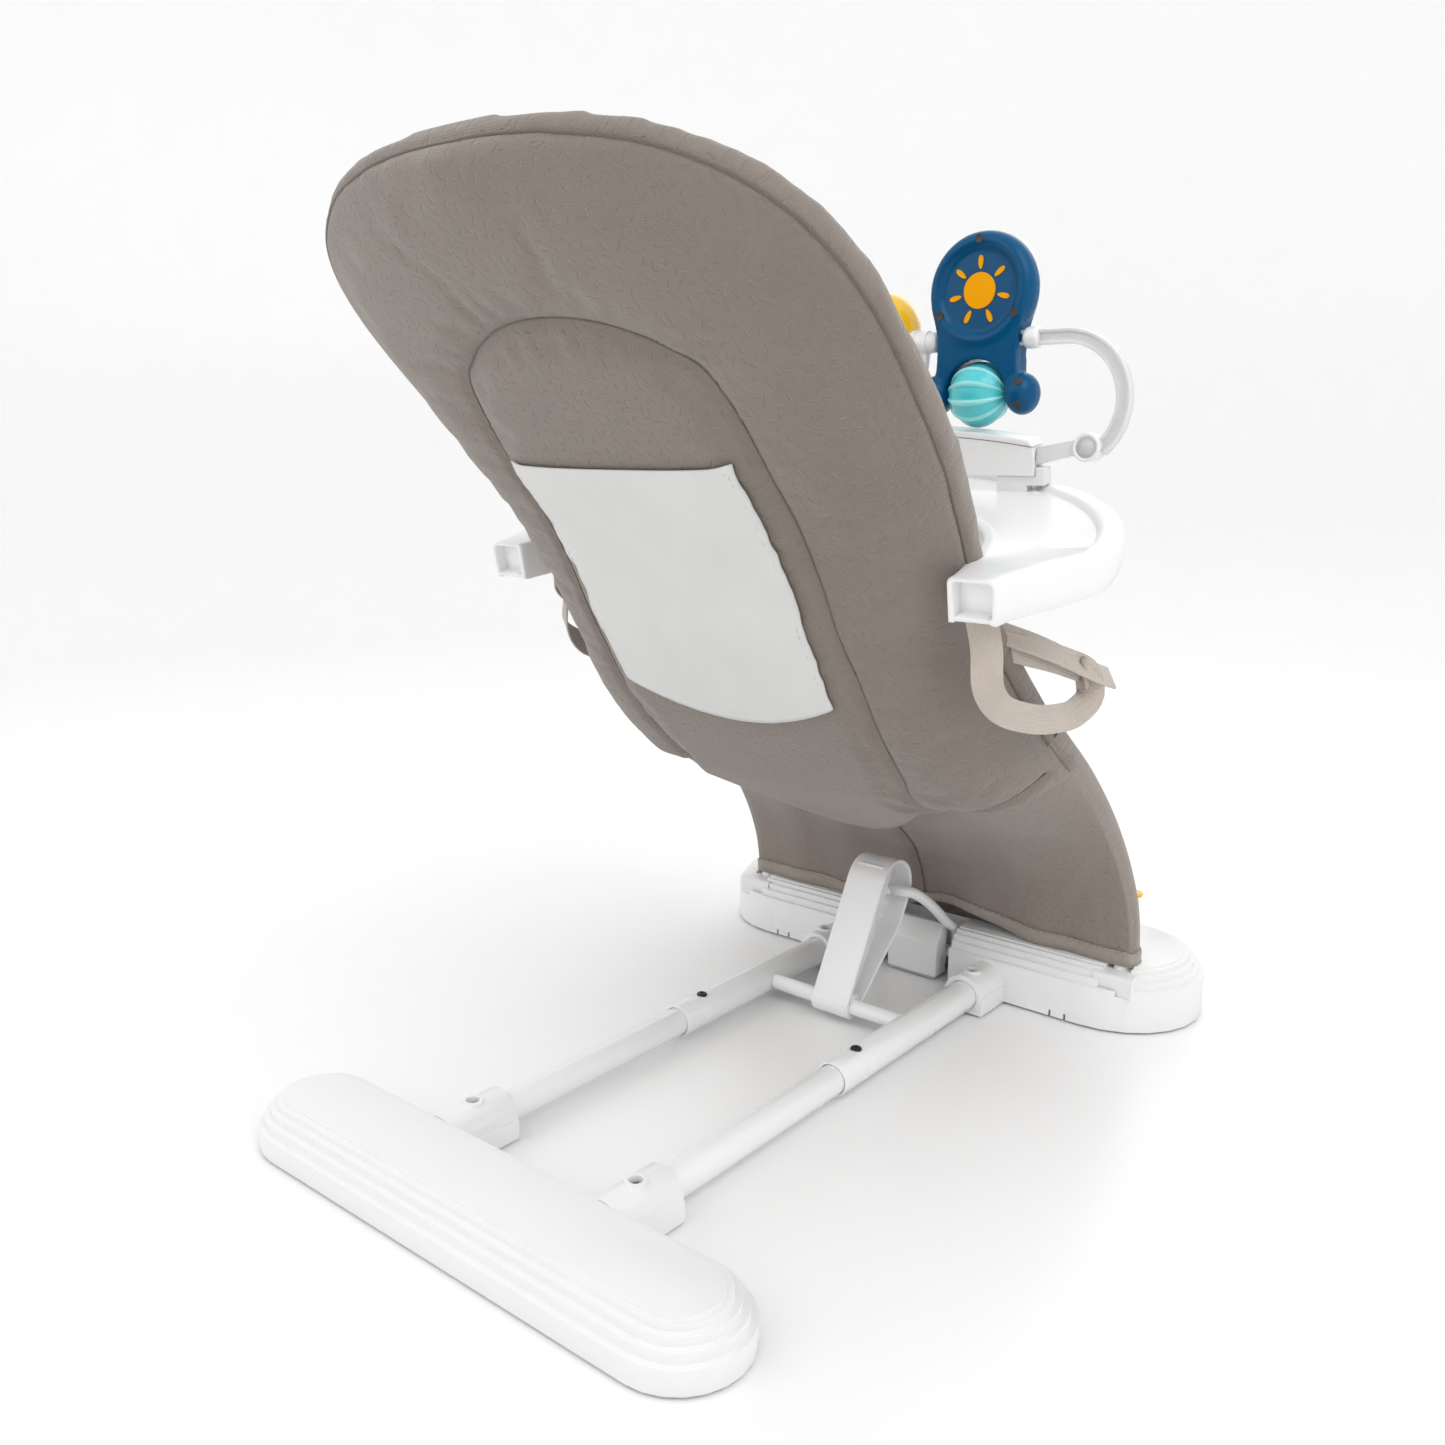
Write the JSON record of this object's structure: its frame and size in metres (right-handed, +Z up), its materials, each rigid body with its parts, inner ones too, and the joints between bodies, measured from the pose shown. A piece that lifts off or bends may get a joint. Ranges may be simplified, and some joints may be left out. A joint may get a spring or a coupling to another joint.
{
  "type": "bouncer seat",
  "caption": "Infant bouncer: padded fabric sling on a hoop frame pivoting in a wide front foot, tube base with rear foot, recline lever, clip-on tray and toy arch.",
  "frame": {"origin": "on the floor under the middle of the object's box", "axes": "+Z up, the child faces -Y towards the front foot, +X is the child's left"},
  "size_m": [0.484, 0.673, 0.615],
  "materials": {
    "white_plastic": "satin moulded white",
    "white_metal": "white powder coat",
    "plate_plastic": "matt moulded",
    "clear_plastic": "milky translucent",
    "screw_steel": "black oxide",
    "pad_rubber": "matt",
    "bush_nylon": "natural nylon",
    "seat_fabric": "embossed taupe jacquard",
    "webbing": "woven tape",
    "dark_plastic": "matt",
    "blue_plastic": "glossy",
    "turquoise_plastic": "glossy",
    "orange_plastic": "satin",
    "yellow_plastic": "glossy"
  },
  "bodies": {
    "base": {"front_foot_shell": "white_plastic", "front_foot_plate": "plate_plastic", "rear_foot_shell": "white_plastic", "rear_foot_plate": "plate_plastic", "front_pad_left": "pad_rubber", "front_pad_right": "pad_rubber", "pivot_bush_left": "bush_nylon", "pivot_bush_right": "bush_nylon", "rear_pad_left": "pad_rubber", "rear_pad_right": "pad_rubber", "front_tube_left": "white_metal", "front_tube_right": "white_metal", "rear_tube_left": "white_metal", "rear_tube_right": "white_metal", "front_socket_screw_left": "screw_steel", "front_socket_screw_right": "screw_steel", "tube_joint_screw_left": "screw_steel", "tube_joint_screw_right": "screw_steel", "rear_socket_screw_left": "screw_steel", "rear_socket_screw_right": "screw_steel", "crossbar": "white_metal", "control_box": "white_plastic", "control_box_cover": "plate_plastic"},
    "button": {"button_cap": "yellow_plastic"},
    "recline": {"pivot_shaft": "white_metal", "recline_bail": "white_metal"},
    "lever": {"recline_lever": "white_plastic"},
    "seat": {"frame_hoop": "white_metal", "frame_leg_left": "white_metal", "frame_leg_right": "white_metal", "seat_pad": "seat_fabric", "leg_panel": "seat_fabric", "shoulder_strap_left": "webbing", "shoulder_strap_right": "webbing", "shoulder_pad_left": "seat_fabric", "shoulder_pad_right": "seat_fabric", "strap_slider_left": "dark_plastic", "strap_slider_right": "dark_plastic", "crotch_strap": "webbing", "harness_buckle": "dark_plastic", "waist_strap_left": "webbing", "waist_strap_right": "webbing"},
    "buckle": {"buckle_button": "white_plastic"},
    "tray": {"tray_shell": "white_plastic", "toy_beam": "white_plastic", "toy_beam_lid": "white_plastic", "beam_peg_left": "white_plastic", "beam_peg_right": "white_plastic"},
    "arch": {"arch_bar": "clear_plastic", "arch_arm_left": "clear_plastic", "arch_arm_right": "clear_plastic", "arch_knob_left": "white_plastic", "arch_knob_right": "white_plastic", "toy_ring": "white_plastic"},
    "spin_toy": {"toy_back_shell": "blue_plastic", "toy_front_shell": "blue_plastic", "toy_sun_disc": "orange_plastic", "toy_axle": "screw_steel"},
    "roller": {"toy_roller": "turquoise_plastic"},
    "rattle": {"yellow_rattle": "yellow_plastic"}
  },
  "joints": [
    {"name": "button_press", "type": "slide", "parent": "base", "child": "button", "axis": [0, 0, -1], "range_m": [0, 0.003], "stiffness_N_per_m": 300},
    {"name": "recline", "type": "hinge", "parent": "base", "child": "recline", "pos_m": [0, -0.224, 0.02], "axis": [1, 0, 0], "range_deg": [-7, 0]},
    {"name": "lever_release", "type": "hinge", "parent": "base", "child": "lever", "pos_m": [0, -0.08, 0.015], "axis": [1, 0, 0], "range_deg": [-2.5, 0]},
    {"name": "bounce", "type": "hinge", "parent": "recline", "child": "seat", "pos_m": [0, -0.224, 0.02], "axis": [1, 0, 0], "range_deg": [-1.2, 3], "stiffness_Nm_per_rad": 320, "springref_deg": 2.01},
    {"name": "buckle_press", "type": "slide", "parent": "seat", "child": "buckle", "axis": [0, 0.6947, -0.7193], "range_m": [0, 0.002], "stiffness_N_per_m": 400},
    {"name": "tray_slide", "type": "slide", "parent": "seat", "child": "tray", "axis": [0, -0.9848, 0.1736], "range_m": [0, 0.05]},
    {"name": "arch_tilt", "type": "hinge", "parent": "tray", "child": "arch", "pos_m": [0, -0.16788, 0.45163], "axis": [1, 0, 0], "range_deg": [-45, 30]},
    {"name": "toy_spin", "type": "hinge", "parent": "arch", "child": "spin_toy", "pos_m": [-0.057, -0.16788, 0.537], "axis": [1, 0, 0], "range_deg": [-90, 90]},
    {"name": "roller_spin", "type": "hinge", "parent": "spin_toy", "child": "roller", "pos_m": [-0.057, -0.16788, 0.497], "axis": [1, 0, 0], "continuous": true},
    {"name": "rattle_spin", "type": "hinge", "parent": "arch", "child": "rattle", "pos_m": [0.0315, -0.16788, 0.537], "axis": [1, 0, 0], "continuous": true}
  ]
}
